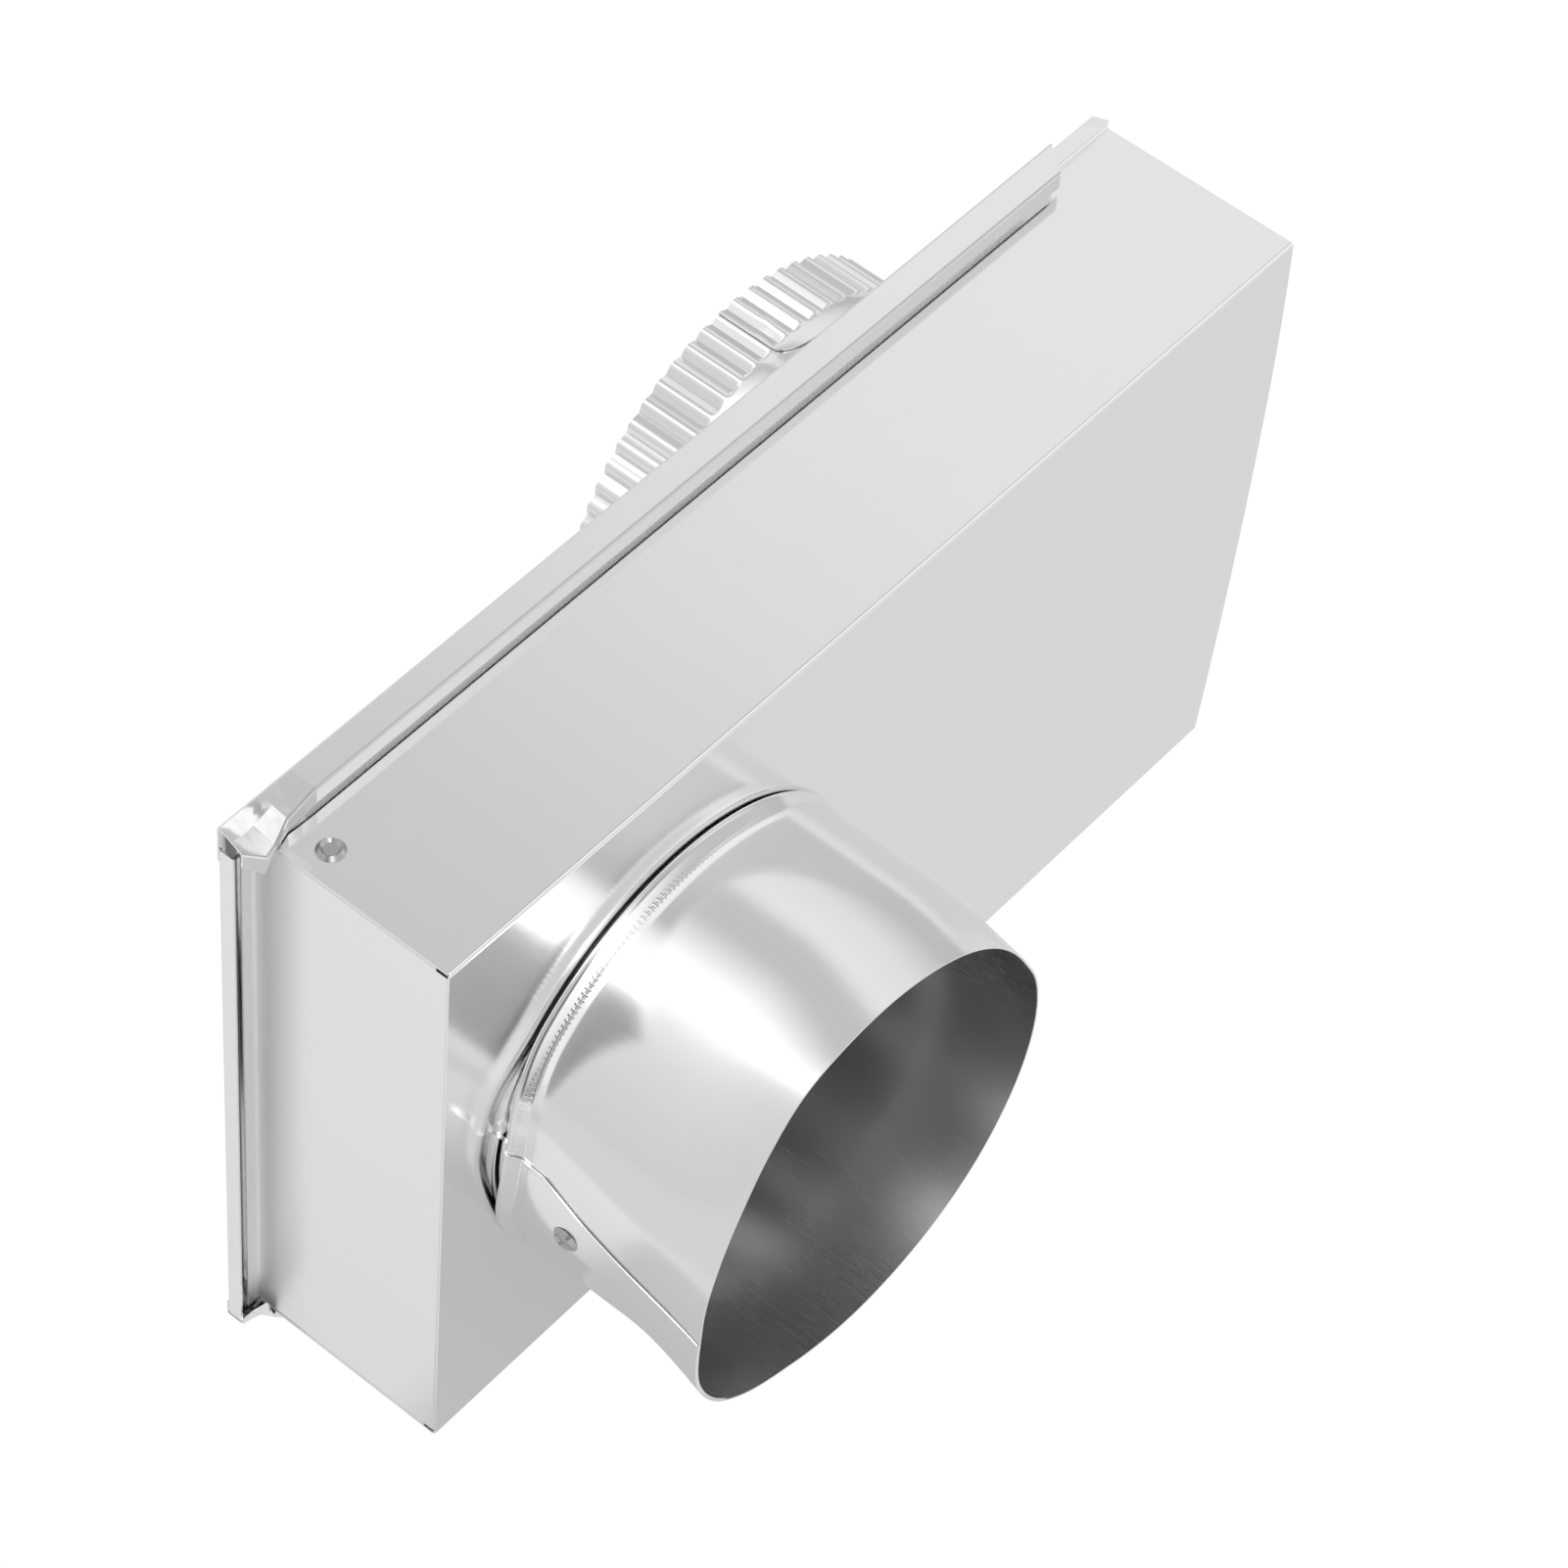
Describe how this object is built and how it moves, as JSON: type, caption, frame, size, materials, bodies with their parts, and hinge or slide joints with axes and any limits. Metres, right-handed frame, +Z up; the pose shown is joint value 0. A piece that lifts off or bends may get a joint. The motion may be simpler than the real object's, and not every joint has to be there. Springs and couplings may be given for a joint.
{
  "type": "periscope dryer vent",
  "caption": "Flat telescoping sheet-metal duct: two shallow pans slide on folded rails, each with a round collar, one plain and one crimped.",
  "frame": {"origin": "below the middle of the vent's box, on the floor that its lower rail stands on, with the slide at its left stop", "axes": "+X along the pans towards the front pan's open end, -Y out of the front collar, +Y out of the crimped collar, +Z up"},
  "size_m": [0.2624, 0.1394, 0.1636],
  "materials": {
    "pan_sheet": "bright mill finish sheet",
    "collar_sheet": "bright rolled sheet",
    "rivet": "dull drawn aluminium"
  },
  "bodies": {
    "back": {"back_pan": "pan_sheet", "back_collar": "collar_sheet"},
    "front": {"front_pan": "pan_sheet", "front_pan_rivet_top": "rivet", "front_pan_rivet_bottom": "rivet", "front_collar": "collar_sheet", "front_collar_rivet": "rivet"}
  },
  "joints": [
    {"name": "pan_slide", "type": "slide", "parent": "back", "child": "front", "axis": [1, 0, 0], "range_m": [0, 0.1195]}
  ]
}
